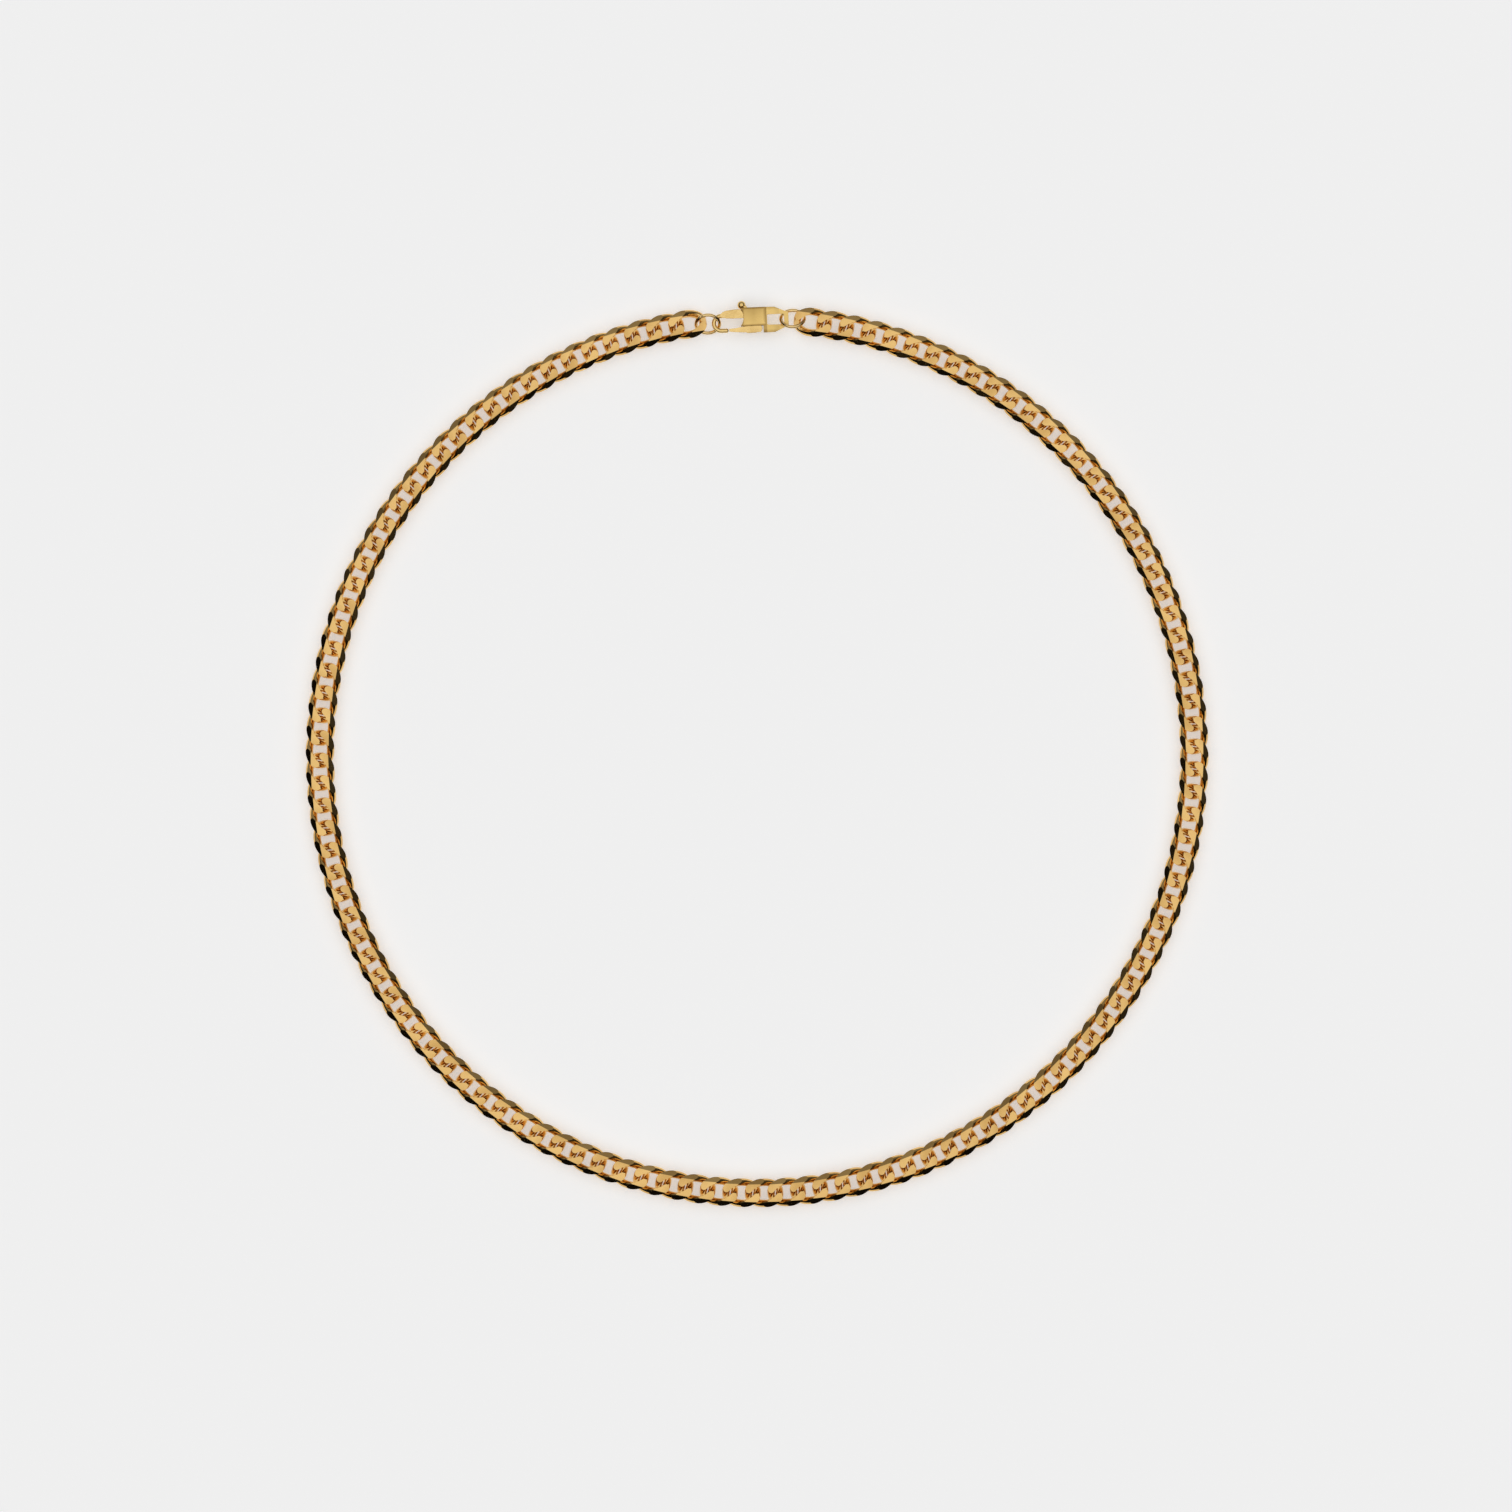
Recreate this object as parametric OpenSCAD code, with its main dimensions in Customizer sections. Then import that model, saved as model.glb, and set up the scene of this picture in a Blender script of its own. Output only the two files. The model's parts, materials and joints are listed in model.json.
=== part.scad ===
// Curb chain necklace, closed by a lobster clasp between two jump rings.
//
// The closed necklace lies flat as a ring. The origin is at the middle of the ring, on the surface
// that it lies on. +Z points up, and the clasp is at +Y. Angles round the ring run clockwise from +Y,
// seen from above. Every curb link is one loop of wire that is twisted about the chain's own
// direction and ground flat above and below, so each end stands at a slant inside its neighbour.

/* [Chain] */
// Distance from one link to the next, along the chain
link_pitch = 4.11; // [3.9:0.01:5]
// Width of the chain, across a link
link_w = 5.27; // [4.8:0.01:6.4]
// Thickness of the link wire, across its corners
wire_d = 1.36; // [1.1:0.01:1.45]
// Free play that a link has inside the next one
link_play = 0.17; // [0.1:0.01:0.4]
// Slant of each link end from the flat, in degrees
link_twist = 50; // [46:1:52]
// Fullness of a link's outline, where 2 is an ellipse and more is squarer
link_fullness = 2.6; // [2.3:0.1:2.8]
// Thickness of the chain over its ground faces
chain_t = 2.2; // [1.9:0.05:2.8]
// Slope of the bevels along both edges of the chain, in degrees
bevel_slope = 32; // [20:1:45]
// Width of the flat face between the two bevels
flat_w = 3.2; // [2.4:0.1:4]

/* [Jump rings] */
// Outside diameter of a jump ring
ring_od = 4.9; // [4.6:0.05:6]
// Thickness of the jump ring wire
ring_wire_d = 0.62; // [0.5:0.01:0.7]
// Lean of each jump ring from the flat, in degrees
ring_lean = 43; // [42:1:45]
// Width of the saw cut that closes up when the ring is shut
ring_seam = 0.04; // [0.02:0.01:0.1]

/* [Clasp] */
// Length of the clasp from the end of its hook to the end of its tail
clasp_l = 14; // [13.2:0.1:17]
// Thickness of the clasp over its two cheeks
clasp_t = 2.4; // [2.2:0.1:3.2]
// Thickness of each cheek
cheek_t = 0.45; // [0.35:0.05:0.6]
// Length of the cheeks along the clasp
cheek_l = 4.2; // [3.8:0.1:5]
// Thickness of the round hook
hook_d = 0.8; // [0.7:0.05:0.9]
// Height of the opening inside the hook
hook_gap = 1.9; // [1.85:0.05:2.2]
// Thickness of the arm behind the hook
arm_t = 1.1; // [0.8:0.05:1.3]
// Height of the tail where it leaves the cheeks
tail_h = 4.6; // [4:0.1:5]
// Length of the slot through the tail
slot_l = 3.1; // [2.8:0.1:4]
// Height of the slot through the tail
slot_h = 1.9; // [1.8:0.05:2.2]
// Width of the bar that closes the end of the tail
tail_bar = 0.8; // [0.6:0.05:0.9]
// Thickness of the tail at its end bar
tail_end_t = 0.5; // [0.4:0.05:0.6]
// Diameter of the trigger's thumb ball
ball_d = 1.5; // [1.2:0.1:1.8]
// Diameter of the trigger's pivot pin
pin_d = 0.8; // [0.6:0.05:1]
// Lean of the clasp against the ring, in degrees
clasp_lean = 1.5; // [0:0.5:2]

/* [Fits] */
// Gap between a jump ring and what it hangs in, along the chain
hang_gap = 0.3; // [0.26:0.01:0.34]
// Gap between a jump ring and the tip of the end link, along the chain
link_gap = 0.25; // [0.22:0.01:0.35]
// Gap round the pin inside the trigger
pin_gap = 0.04; // [0.02:0.01:0.06]
// Gap between the trigger and each cheek, and between the trigger and its stops
side_gap = 0.06; // [0.04:0.01:0.1]

/* [Hidden] */
links_per_group = 3;
group_count = 39;
link_count = links_per_group * group_count;

function group_name(g) = str("links_", g < 10 ? "0" : "", g);

gold = [0.86, 0.66, 0.3];
gold_satin = [0.8, 0.62, 0.3];
gold_pale = [0.9, 0.74, 0.42];
spring_steel = [0.62, 0.63, 0.65];
round_fn = 48;
fine_fn = 96;
clasp_rise = 0.1;

// ---- Link: its wire loop, worked out as a ring of cross-sections ----
section_count = 12;
side_count = 6;
link_l = link_pitch + 2 * wire_d + link_play;
half_l = (link_l - wire_d) / 2;
half_w = (link_w - wire_d) / 2;
small_step = 0.5;

function eased(s) = sign(s) * pow(abs(s), 2 / link_fullness);
function slant(x) = link_twist * x / half_l;
function wire_point(t) =
    let (x = half_l * eased(sin(t)), reach = half_w * eased(cos(t)), a = slant(x))
    [x, reach * cos(a), -reach * sin(a)];
function unit(v) = v / norm(v);
function wire_heading(t) = unit(wire_point(t + small_step) - wire_point(t - small_step));
function wire_side(t) =
    let (a = slant(wire_point(t)[0])) unit(cross(wire_heading(t), [0, sin(a), cos(a)]));

// The ground faces and the bevels, each as [outward direction, distance from the chain's middle].
// A bevel starts at the edge of the flat face.
bevel_reach = flat_w / 2 * sin(bevel_slope) + chain_t / 2 * cos(bevel_slope);
cuts = concat(
    [for (up = [1, -1]) [[0, 0, up], chain_t / 2]],
    [for (up = [1, -1], out = [1, -1])
        [[0, out * sin(bevel_slope), up * cos(bevel_slope)], bevel_reach]]);
function cut_reach(from, toward, cut) =
    let (closing = toward * cut[0])
    closing > 0.001 ? (cut[1] - from * cut[0]) / closing : wire_d;
function wire_skin(t, turn) =
    let (
        from = wire_point(t), side = wire_side(t),
        toward = cos(turn) * side + sin(turn) * cross(side, wire_heading(t)),
        reach = min([wire_d / 2, for (cut = cuts) cut_reach(from, toward, cut)]))
    from + reach * toward;

module link() {
    points = [
        for (s = [0 : section_count - 1], k = [0 : side_count - 1])
            wire_skin(360 * s / section_count, 360 * k / side_count)];
    faces = [
        for (s = [0 : section_count - 1], k = [0 : side_count - 1])
            let (
                here = s * side_count, next = (s + 1) % section_count * side_count,
                beside = (k + 1) % side_count)
            each [[here + k, here + beside, next + beside], [here + k, next + beside, next + k]]];
    polyhedron(points = points, faces = faces);
}

// ---- Clasp: sizes along its own length, with its own middle as zero ----
tail_end_x = clasp_l / 2;
slot_end_x = tail_end_x - tail_bar;
slot_start_x = slot_end_x - slot_l;
cheek_end_x = slot_start_x - 0.2;
cheek_start_x = cheek_end_x - cheek_l;
cheek_top = tail_h / 2;
cheek_foot = -0.22 * tail_h;
cheek_z = clasp_t / 2 - cheek_t;
hook_r = (hook_gap + hook_d) / 2;
hook_x = -clasp_l / 2 + hook_r + hook_d / 2;
hook_y = -0.35;
hook_inner_x = hook_x - hook_gap / 2;
hook_roof = hook_y + hook_gap / 2;
nose_x = hook_x + 1.25;
foot_y = hook_y - hook_r;
trigger_t = 2 * (cheek_z - side_gap);
pin_at = [cheek_start_x + 2.3, -0.5];
hub_d = pin_d + 0.8;
root_depth = 0.55;
clear_through = 2 * clasp_t;

// ---- Where the pieces stand on the ring ----
ring_r = (ring_od - ring_wire_d) / 2;
ring_hole_r = ring_r - ring_wire_d / 2;
ring_right_x = slot_end_x - hang_gap + ring_hole_r;
ring_left_x = hook_inner_x + hang_gap - ring_hole_r;
link_hole_half = link_l / 2 - wire_d;
hang = ring_hole_r + link_hole_half - link_gap;
clasp_reach = (ring_right_x - ring_left_x) / 2 + hang;
clasp_shift = -(ring_right_x + ring_left_x) / 2;
necklace_l = (link_count - 1) * link_pitch + 2 * clasp_reach;
necklace_r = necklace_l / (2 * PI);
pitch_angle = 360 * link_pitch / necklace_l;
first_angle = 360 * clasp_reach / necklace_l;
mid_z = max(chain_t / 2, clasp_t / 2, ring_r * sin(ring_lean) + ring_wire_d / 2);
ring_angle = 360 * (ring_right_x + clasp_shift) / necklace_l;
clasp_y = necklace_r * cos(ring_angle) + clasp_rise;

module on_ring(angle) {
    rotate([0, 0, -angle]) translate([0, necklace_r, mid_z]) children();
}
module on_clasp() {
    translate([clasp_shift, clasp_y, mid_z]) rotate([0, 0, clasp_lean]) children();
}

module link_group(g) {
    color(gold) for (k = [0 : links_per_group - 1])
        on_ring(first_angle + ((g - 1) * links_per_group + k) * pitch_angle) link();
}

// A jump ring: a full turn of round wire with its saw cut, leaning about the chain's direction.
module jump_ring(lean) {
    seam_at = 60;
    color(gold_pale) rotate([lean, 0, 0]) difference() {
        rotate_extrude($fn = fine_fn) translate([ring_r, 0]) circle(d = ring_wire_d, $fn = round_fn);
        rotate([0, 0, seam_at]) translate([ring_r, 0, 0])
            cube([2 * ring_wire_d, ring_seam, 2 * ring_wire_d], center = true);
    }
}
module jump_ring_right() { on_clasp() translate([ring_right_x, 0, 0]) jump_ring(-ring_lean); }
module jump_ring_left() { on_clasp() translate([ring_left_x, hook_y, 0]) jump_ring(ring_lean); }

// A flat shape of the clasp's outline, standing evenly about the clasp's middle plane.
module slab(thickness) { linear_extrude(height = thickness, center = true) children(); }

// A cheek seen from above: a block with one rounded corner cut and a hollow end towards the hook.
module cheek_outline() {
    corner = 0.3;
    hollow_r = 2.75;
    hollow_at = [cheek_start_x - hollow_r + 0.15, 0.7];
    difference() {
        polygon([
            [cheek_start_x, cheek_foot], [cheek_end_x - corner, cheek_foot],
            [cheek_end_x, cheek_foot + corner], [cheek_end_x, cheek_top], [cheek_start_x, cheek_top]]);
        translate(hollow_at) circle(r = hollow_r, $fn = fine_fn);
    }
}
module cheeks() {
    for (side = [1, -1])
        translate([0, 0, side * (cheek_z + cheek_t / 2)]) slab(cheek_t) cheek_outline();
}

// The tail: a six-sided plate with its slot, thinned towards its end bar.
module tail() {
    start_x = cheek_end_x - 0.5;
    knee_x = slot_start_x + 0.45 * slot_l;
    tip_y = 0.62 * slot_h;
    thin_x = slot_end_x - 0.9;
    difference() {
        intersection() {
            slab(clasp_t) polygon([
                [start_x, -tail_h / 2], [knee_x, -tail_h / 2], [tail_end_x, -tip_y],
                [tail_end_x, tip_y], [knee_x, tail_h / 2], [start_x, tail_h / 2]]);
            rotate([90, 0, 0]) linear_extrude(height = 2 * tail_h, center = true) polygon([
                [start_x, clasp_t / 2], [slot_start_x, arm_t / 2], [thin_x, tail_end_t / 2],
                [tail_end_x, tail_end_t / 2], [tail_end_x, -tail_end_t / 2],
                [thin_x, -tail_end_t / 2], [slot_start_x, -arm_t / 2], [start_x, -clasp_t / 2]]);
        }
        slab(clear_through) translate([slot_start_x, -slot_h / 2]) square([slot_l, slot_h]);
    }
}

// The hook: a half turn of round bar with a straight nose.
module hook() {
    translate([hook_x, hook_y, 0]) rotate([0, 0, 90])
        rotate_extrude(angle = 180, $fn = fine_fn)
            translate([hook_r, 0]) circle(d = hook_d, $fn = round_fn);
    translate([hook_x, foot_y, 0]) rotate([0, 90, 0])
        cylinder(d = hook_d, h = nose_x - hook_x, $fn = round_fn);
}
// The broad arm that carries the hook. It starts inside the hook's bar and ends inside the cheeks.
module arm() {
    bar_inset = 0.12;
    arm_start_x = hook_x - 0.02;
    arm_end_x = cheek_start_x + 0.3;
    slab(arm_t) polygon([
        [arm_start_x, hook_roof + bar_inset], [hook_x + 1, hook_roof - 0.1],
        [arm_end_x, hook_roof - 0.15], [arm_end_x, cheek_top - 0.35],
        [cheek_start_x - 0.9, cheek_top - 0.2], [hook_x + 0.8, cheek_top - 0.4],
        [arm_start_x, hook_roof + hook_d - bar_inset]]);
}
// The block between the cheeks that joins them to the arm, and is the stop for the closed trigger.
module arm_root() {
    root_foot = hook_roof - 0.15;
    root_start_x = cheek_start_x + 0.1;
    root_end_x = cheek_start_x + 0.95;
    slab(clasp_t - cheek_t) polygon([
        [root_start_x, root_foot], [root_end_x, root_foot],
        [root_end_x, root_foot + 0.35], [root_start_x, root_foot + 1.3]]);
}
module tail_root() {
    root_foot = cheek_foot + 0.35;
    slab(clasp_t - cheek_t) translate([cheek_end_x - root_depth, root_foot])
        square([root_depth, cheek_top - root_foot]);
}
module clasp_body() {
    color(gold_satin) on_clasp() difference() {
        union() {
            cheeks();
            tail();
            hook();
            arm();
            arm_root();
            tail_root();
        }
        translate(pin_at) cylinder(d = pin_d, h = clear_through, center = true, $fn = round_fn);
    }
}

// The trigger: gate, hub and thumb stem in one piece, with its ball outside the cheeks.
module gate_outline() {
    gate_end_x = nose_x + side_gap + 0.05;
    gate_top = hook_y - hook_gap / 2 - 0.1;
    gate_foot = foot_y - hook_d / 2;
    polygon([
        [gate_end_x, gate_foot + 0.15], [cheek_end_x - 1, gate_foot - 0.1],
        [cheek_end_x - 0.7, gate_foot + 0.5], [pin_at[0] + hub_d / 2, pin_at[1]],
        [pin_at[0] - hub_d / 2, pin_at[1] - 0.35], [gate_end_x, gate_top]]);
}
module clasp_trigger() {
    ball_at = [cheek_start_x - 0.15, cheek_top + 0.55];
    color(gold_pale) on_clasp() difference() {
        union() {
            slab(trigger_t) {
                translate(pin_at) circle(d = hub_d, $fn = round_fn);
                gate_outline();
                polygon([
                    pin_at + [-0.35, 0.3], pin_at + [0.55, 0.4],
                    ball_at + [0.75, -0.1], ball_at + [0.2, -0.25]]);
            }
            translate(ball_at) sphere(d = ball_d, $fn = round_fn);
        }
        translate(pin_at)
            cylinder(d = pin_d + 2 * pin_gap, h = clear_through, center = true, $fn = round_fn);
    }
}
module clasp_pin() {
    color(gold_satin) on_clasp() translate(pin_at)
        cylinder(d = pin_d, h = clasp_t, center = true, $fn = round_fn);
}
// The leaf spring, hidden between the cheeks, from the tail root to the back of the thumb stem.
module clasp_spring() {
    leaf_t = 0.12;
    leaf_r = 1.7;
    leaf_gap = 0.07;
    leaf_at = [cheek_end_x - root_depth - leaf_gap - leaf_r, -0.1];
    color(spring_steel) on_clasp() translate(leaf_at) slab(trigger_t - 0.3) difference() {
        circle(r = leaf_r, $fn = fine_fn);
        circle(r = leaf_r - leaf_t, $fn = fine_fn);
        translate([-2 * leaf_r, -leaf_r]) square([2 * leaf_r + 0.2, 2 * leaf_r]);
        translate([0, -2 * leaf_r]) square([2 * leaf_r, 2 * leaf_r + 0.1]);
    }
}

for (g = [1 : group_count]) link_group(g);
jump_ring_right();
jump_ring_left();
clasp_body();
clasp_trigger();
clasp_pin();
clasp_spring();
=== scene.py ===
"""The looks of a gold curb chain necklace with a lobster clasp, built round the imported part."""

import json
import logging
import math
from dataclasses import dataclass, field
from enum import Enum
from typing import Callable, Mapping, Sequence, Union

import bmesh
import bpy
import numpy as np
from mathutils import Matrix, Vector

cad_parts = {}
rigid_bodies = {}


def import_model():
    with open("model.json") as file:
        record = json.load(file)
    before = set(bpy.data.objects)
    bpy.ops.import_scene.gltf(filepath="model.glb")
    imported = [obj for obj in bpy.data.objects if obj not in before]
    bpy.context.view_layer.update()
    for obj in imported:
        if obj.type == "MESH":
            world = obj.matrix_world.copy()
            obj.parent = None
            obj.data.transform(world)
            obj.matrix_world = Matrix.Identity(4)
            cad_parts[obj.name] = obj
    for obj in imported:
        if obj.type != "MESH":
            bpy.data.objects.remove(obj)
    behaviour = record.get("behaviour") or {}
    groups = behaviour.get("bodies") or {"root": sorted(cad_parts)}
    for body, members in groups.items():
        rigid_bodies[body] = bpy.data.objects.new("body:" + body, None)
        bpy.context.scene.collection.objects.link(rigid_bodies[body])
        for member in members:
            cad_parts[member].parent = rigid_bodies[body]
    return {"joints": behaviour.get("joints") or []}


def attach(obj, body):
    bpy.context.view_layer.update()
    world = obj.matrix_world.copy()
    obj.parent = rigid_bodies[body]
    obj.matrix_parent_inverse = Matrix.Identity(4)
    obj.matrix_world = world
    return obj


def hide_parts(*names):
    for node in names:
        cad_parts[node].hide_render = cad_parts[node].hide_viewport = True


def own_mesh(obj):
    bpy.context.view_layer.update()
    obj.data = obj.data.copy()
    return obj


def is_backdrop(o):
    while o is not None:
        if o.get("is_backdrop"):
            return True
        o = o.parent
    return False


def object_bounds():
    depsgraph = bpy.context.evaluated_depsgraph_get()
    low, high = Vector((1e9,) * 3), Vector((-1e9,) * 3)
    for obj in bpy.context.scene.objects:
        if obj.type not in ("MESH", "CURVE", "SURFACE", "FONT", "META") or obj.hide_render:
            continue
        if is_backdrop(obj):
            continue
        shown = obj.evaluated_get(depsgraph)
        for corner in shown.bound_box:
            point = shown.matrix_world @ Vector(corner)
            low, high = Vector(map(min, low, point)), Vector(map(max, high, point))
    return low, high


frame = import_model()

MM = 0.001
log = logging.getLogger("necklace")

Point = tuple[float, float]
Operand = Union["Term", float, int]


class Slot(Enum):
    """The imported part's material slots."""

    LINKS = "links"
    RINGS = "rings"
    CLASP = "clasp"
    TRIGGER = "trigger"
    SPRING = "spring"


# ---- Shader maths ----


@dataclass(frozen=True)
class Term:
    """A value inside a node tree, which ordinary arithmetic extends with Math nodes."""

    graph: "Graph"
    socket: bpy.types.NodeSocket

    def maths(self, operation: str, first: Operand, second: Operand = 0.0) -> "Term":
        """Adds one Math node.

        Args:
            operation: The Math node's operation.
            first: Its first value.
            second: Its second value, where the operation has one.

        Returns:
            The node's result.
        """
        return self.graph.node("ShaderNodeMath", {"operation": operation}, {0: first, 1: second})

    def __add__(self, other: Operand) -> "Term":
        """The sum of two values."""
        return self.maths("ADD", self, other)

    def __sub__(self, other: Operand) -> "Term":
        """This value less another."""
        return self.maths("SUBTRACT", self, other)

    def __rsub__(self, other: Operand) -> "Term":
        """Another value less this one."""
        return self.maths("SUBTRACT", other, self)

    def __mul__(self, other: Operand) -> "Term":
        """The product of two values."""
        return self.maths("MULTIPLY", self, other)

    def __pow__(self, other: Operand) -> "Term":
        """This value to a power."""
        return self.maths("POWER", self, other)

    __radd__ = __add__
    __rmul__ = __mul__

    def ramp(self, start: float, end: float) -> "Term":
        """Rises smoothly from 0 at the start to 1 at the end.

        Args:
            start: The value that gives 0.
            end: The value that gives 1.

        Returns:
            The smooth step.
        """
        settings = {"interpolation_type": "SMOOTHSTEP"}
        return self.graph.node("ShaderNodeMapRange", settings, {0: self, 1: start, 2: end})


class Graph:
    """The nodes of one material or of the studio's surroundings."""

    def __init__(self, tree: bpy.types.NodeTree) -> None:
        """Starts from an empty node tree.

        Args:
            tree: The tree to fill.
        """
        self.tree = tree
        tree.nodes.clear()

    def node(
        self,
        kind: str,
        settings: Mapping[str, object] | None = None,
        inputs: Mapping[Union[str, int], object] | None = None,
        output: Union[str, int] = 0,
    ) -> Term:
        """Adds one node.

        Args:
            kind: The node's type.
            settings: Its properties, which are set first.
            inputs: The values or links of its sockets, by name or place.
            output: The output that the result stands for.

        Returns:
            The chosen output as a term.
        """
        made = self.tree.nodes.new(kind)
        for name, value in (settings or {}).items():
            setattr(made, name, value)
        for name, value in (inputs or {}).items():
            if isinstance(value, Term):
                self.tree.links.new(value.socket, made.inputs[name])
            else:
                made.inputs[name].default_value = value
        return Term(self, made.outputs[output]) if made.outputs else Term(self, made.inputs[0])

    def blend(self, mask: Term, low: object, high: object) -> Term:
        """Mixes two colours.

        Args:
            mask: 0 gives the low colour and 1 the high one.
            low: A colour or a term.
            high: A colour or a term.

        Returns:
            The mixed colour.
        """
        colours = {0: mask, 6: low, 7: high}
        return self.node("ShaderNodeMix", {"data_type": "RGBA"}, colours, output=2)


# ---- Finishes ----


@dataclass(frozen=True)
class MetalFinish:
    """A solid metal finish with slow colour changes, fine wear and a grain; on the clasp the colour
    changes also carry painted shade.

    Attributes:
        name: The material's name.
        bright: Colour of the clean metal.
        deep: Colour where it has toned down, and on the clasp the colour of painted shade.
        shine: Roughness of the clean metal.
        wear: Roughness that the wear adds.
        grain: Stretch of the grain along X, Y and Z.
        relief: Strength of the grain's bump.
        share: How far the colour follows the tone layer (painted shade on the clasp), from 0 to 1.
    """

    name: str
    bright: tuple[float, float, float]
    deep: tuple[float, float, float]
    shine: float
    wear: float
    grain: tuple[float, float, float] = (1.0, 1.0, 1.0)
    relief: float = 0.05
    share: float = 0.4

    def build(self) -> bpy.types.Material:
        """Makes the material, or returns the one already made."""
        if self.name in bpy.data.materials:
            return bpy.data.materials[self.name]
        material = bpy.data.materials.new(self.name)
        material.use_nodes = True
        graph = Graph(material.node_tree)
        place = graph.node("ShaderNodeTexCoord", output="Object")
        along = graph.node("ShaderNodeMapping", inputs={"Vector": place, "Scale": self.grain})
        noise = "ShaderNodeTexNoise"
        cloud = graph.node(noise, inputs={"Vector": place, "Scale": 260.0, "Detail": 3.0})
        fine = graph.node(noise, inputs={"Vector": along, "Scale": 5200.0, "Detail": 4.0})
        tone = graph.node("ShaderNodeAttribute", {"attribute_name": "tone"}, output="Fac")
        # The tone layer holds random tone on the links and painted shade on the clasp; the noise
        # adds more tone.
        tone_and_painted_shade = cloud.ramp(0.35, 0.75) * (0.8 - 0.8 * self.share) + tone * self.share
        colour = graph.blend(tone_and_painted_shade, (*self.bright, 1.0), (*self.deep, 1.0))
        worn = cloud.ramp(0.3, 0.8) * 0.6 + fine.ramp(0.4, 0.7) * 0.4
        rough = self.shine + self.wear * worn
        bump = graph.node(
            "ShaderNodeBump",
            inputs={"Strength": self.relief, "Distance": 0.02 * MM, "Height": fine},
        )
        shader = graph.node(
            "ShaderNodeBsdfPrincipled",
            inputs={"Base Color": colour, "Metallic": 1.0, "Roughness": rough, "Normal": bump},
        )
        graph.node("ShaderNodeOutputMaterial", inputs={"Surface": shader})
        return material


POLISHED = MetalFinish(
    "polished_gold", (0.93, 0.61, 0.23), (0.62, 0.36, 0.11), 0.05, 0.12, relief=0.04
)
ROUND_WIRE = MetalFinish(
    "gold_wire", (0.96, 0.70, 0.34), (0.72, 0.46, 0.16), 0.10, 0.12, relief=0.05
)
# Its very dark deep colour, which the colour follows closely, paints shade onto the cheeks and the
# tail.
SATIN = MetalFinish(
    "satin_gold",
    (1.0, 0.70, 0.25),
    (0.26, 0.14, 0.03),
    0.26,
    0.14,
    grain=(0.12, 1.0, 1.0),
    relief=0.35,
    share=0.85,
)
BRIGHT_TRIM = MetalFinish(
    "bright_gold", (1.0, 0.72, 0.30), (0.62, 0.38, 0.11), 0.12, 0.14, relief=0.10, share=0.6
)
STEEL = MetalFinish(
    "spring_steel", (0.62, 0.63, 0.65), (0.40, 0.41, 0.43), 0.22, 0.15, (0.1, 1.0, 1.0), 0.2
)


# ---- Shapes ----


@dataclass
class Seat:
    """Where a piece belongs: its body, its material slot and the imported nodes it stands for."""

    body: str
    slot: Slot
    nodes: tuple[str, ...]


def ring_skin(rings: np.ndarray, closed: bool) -> bmesh.types.BMesh:
    """Covers a row of rings of points with four-sided faces.

    Args:
        rings: Points as [ring, point, xyz].
        closed: Whether the last ring joins the first. If not, both ends are capped.

    Returns:
        The covered shape.
    """
    count, sides = rings.shape[:2]
    shape = bmesh.new()
    points = [[shape.verts.new(p) for p in ring] for ring in rings]
    for i in range(count if closed else count - 1):
        here, there = points[i], points[(i + 1) % count]
        for k in range(sides):
            n = (k + 1) % sides
            shape.faces.new((here[k], here[n], there[n], there[k]))
    if not closed:
        shape.faces.new(points[0][::-1])
        shape.faces.new(points[-1])
    return shape


def grind(shape: bmesh.types.BMesh, outward: Vector, limit: float) -> None:
    """Grinds a shape flat and closes the ground faces.

    Args:
        shape: The shape to grind.
        outward: Direction in which the metal is taken off.
        limit: Distance of the ground face along that direction.
    """
    whole = shape.verts[:] + shape.edges[:] + shape.faces[:]
    cut = bmesh.ops.bisect_plane(
        shape, geom=whole, plane_co=outward * limit, plane_no=outward, dist=1e-5, clear_outer=True
    )
    rims = [g for g in cut["geom_cut"] if isinstance(g, bmesh.types.BMEdge) and g.is_boundary]
    bmesh.ops.edgeloop_fill(shape, edges=rims)


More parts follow.
